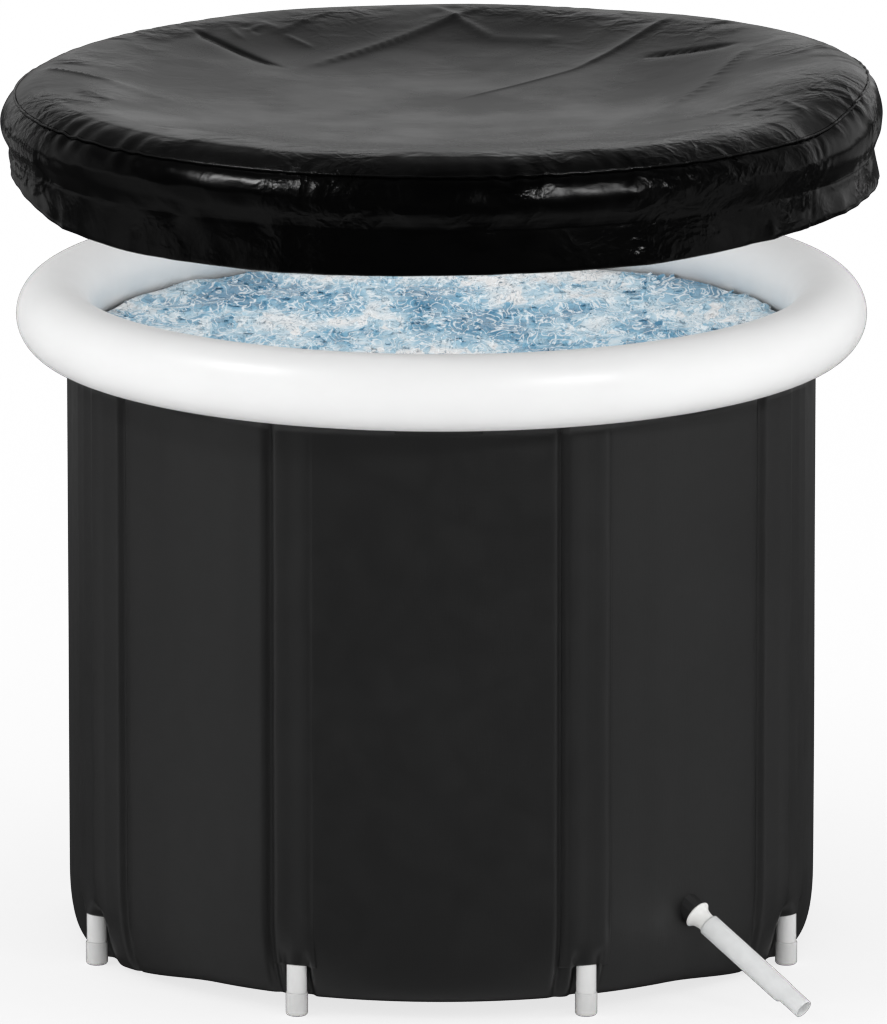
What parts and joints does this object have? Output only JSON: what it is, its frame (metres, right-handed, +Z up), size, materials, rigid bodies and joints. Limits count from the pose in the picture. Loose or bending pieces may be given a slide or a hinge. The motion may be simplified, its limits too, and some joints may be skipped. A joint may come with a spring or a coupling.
{
  "type": "cold plunge tub",
  "caption": "Collapsible cold plunge tub: padded fabric wall on push-in poles, inflated rim ring, drain with stopper and short hose, and a lift-off fitted cover shown above the rim.",
  "frame": {"origin": "on the floor at the middle of the tub", "axes": "+Z up, the front of the tub towards -Y, the drain right of the front"},
  "size_m": [0.978, 0.978, 0.9705],
  "materials": {
    "wall_fabric": "matte",
    "sleeve_fabric": "matte",
    "foam": "matte",
    "liner_film": "satin",
    "ring_film": "satin",
    "pole_plastic": "satin",
    "cap_plastic": "satin",
    "drain_plastic": "satin",
    "hose_film": "satin",
    "black_rubber": "matte",
    "cover_film": "gloss"
  },
  "bodies": {
    "tub": {"outer_wall": "wall_fabric", "outer_base": "wall_fabric", "wall_insulation": "foam", "floor_insulation": "foam", "inner_liner": "liner_film", "rim_band": "wall_fabric", "rim_ring": "ring_film", "air_valve_base": "ring_film", "pole_sleeve_1": "sleeve_fabric", "pole_sleeve_2": "sleeve_fabric", "pole_sleeve_3": "sleeve_fabric", "pole_sleeve_4": "sleeve_fabric", "pole_sleeve_5": "sleeve_fabric", "pole_sleeve_6": "sleeve_fabric", "pole_sleeve_7": "sleeve_fabric", "pole_sleeve_8": "sleeve_fabric", "drain_spigot": "drain_plastic", "drain_outer_gasket": "black_rubber", "drain_inner_gasket": "black_rubber", "drain_nut": "drain_plastic", "drain_hose": "hose_film"},
    "lid": {"lid_top_panel": "cover_film", "lid_skirt": "cover_film", "lid_seam_piping": "cover_film", "lid_hem_elastic": "black_rubber"},
    "pole_1": {"support_pole_1": "pole_plastic", "pole_foot_1": "cap_plastic", "pole_top_cap_1": "cap_plastic"},
    "pole_2": {"support_pole_2": "pole_plastic", "pole_foot_2": "cap_plastic", "pole_top_cap_2": "cap_plastic"},
    "pole_3": {"support_pole_3": "pole_plastic", "pole_foot_3": "cap_plastic", "pole_top_cap_3": "cap_plastic"},
    "pole_4": {"support_pole_4": "pole_plastic", "pole_foot_4": "cap_plastic", "pole_top_cap_4": "cap_plastic"},
    "pole_5": {"support_pole_5": "pole_plastic", "pole_foot_5": "cap_plastic", "pole_top_cap_5": "cap_plastic"},
    "pole_6": {"support_pole_6": "pole_plastic", "pole_foot_6": "cap_plastic", "pole_top_cap_6": "cap_plastic"},
    "pole_7": {"support_pole_7": "pole_plastic", "pole_foot_7": "cap_plastic", "pole_top_cap_7": "cap_plastic"},
    "pole_8": {"support_pole_8": "pole_plastic", "pole_foot_8": "cap_plastic", "pole_top_cap_8": "cap_plastic"},
    "drain_stopper": {"drain_stopper": "black_rubber"},
    "air_valve_cap": {"air_valve_cap": "ring_film"}
  },
  "joints": [
    {"name": "lid_lift", "type": "slide", "parent": "tub", "child": "lid", "axis": [0, 0, 1], "range_m": [-0.2188, 0.3]},
    {"name": "pole_1_slide", "type": "slide", "parent": "tub", "child": "pole_1", "axis": [0, 0, 1], "range_m": [-0.62, 0]},
    {"name": "pole_2_slide", "type": "slide", "parent": "tub", "child": "pole_2", "axis": [0, 0, 1], "range_m": [-0.62, 0]},
    {"name": "pole_3_slide", "type": "slide", "parent": "tub", "child": "pole_3", "axis": [0, 0, 1], "range_m": [-0.62, 0]},
    {"name": "pole_4_slide", "type": "slide", "parent": "tub", "child": "pole_4", "axis": [0, 0, 1], "range_m": [-0.62, 0]},
    {"name": "pole_5_slide", "type": "slide", "parent": "tub", "child": "pole_5", "axis": [0, 0, 1], "range_m": [-0.62, 0]},
    {"name": "pole_6_slide", "type": "slide", "parent": "tub", "child": "pole_6", "axis": [0, 0, 1], "range_m": [-0.62, 0]},
    {"name": "pole_7_slide", "type": "slide", "parent": "tub", "child": "pole_7", "axis": [0, 0, 1], "range_m": [-0.62, 0]},
    {"name": "pole_8_slide", "type": "slide", "parent": "tub", "child": "pole_8", "axis": [0, 0, 1], "range_m": [-0.62, 0]},
    {"name": "drain_stopper_pull", "type": "slide", "parent": "tub", "child": "drain_stopper", "axis": [-0.6593, 0.7518, 0], "range_m": [0, 0.05]},
    {"name": "air_valve_cap_pull", "type": "slide", "parent": "tub", "child": "air_valve_cap", "axis": [-0.0169, 0.2583, -0.9659], "range_m": [0, 0.016]}
  ]
}
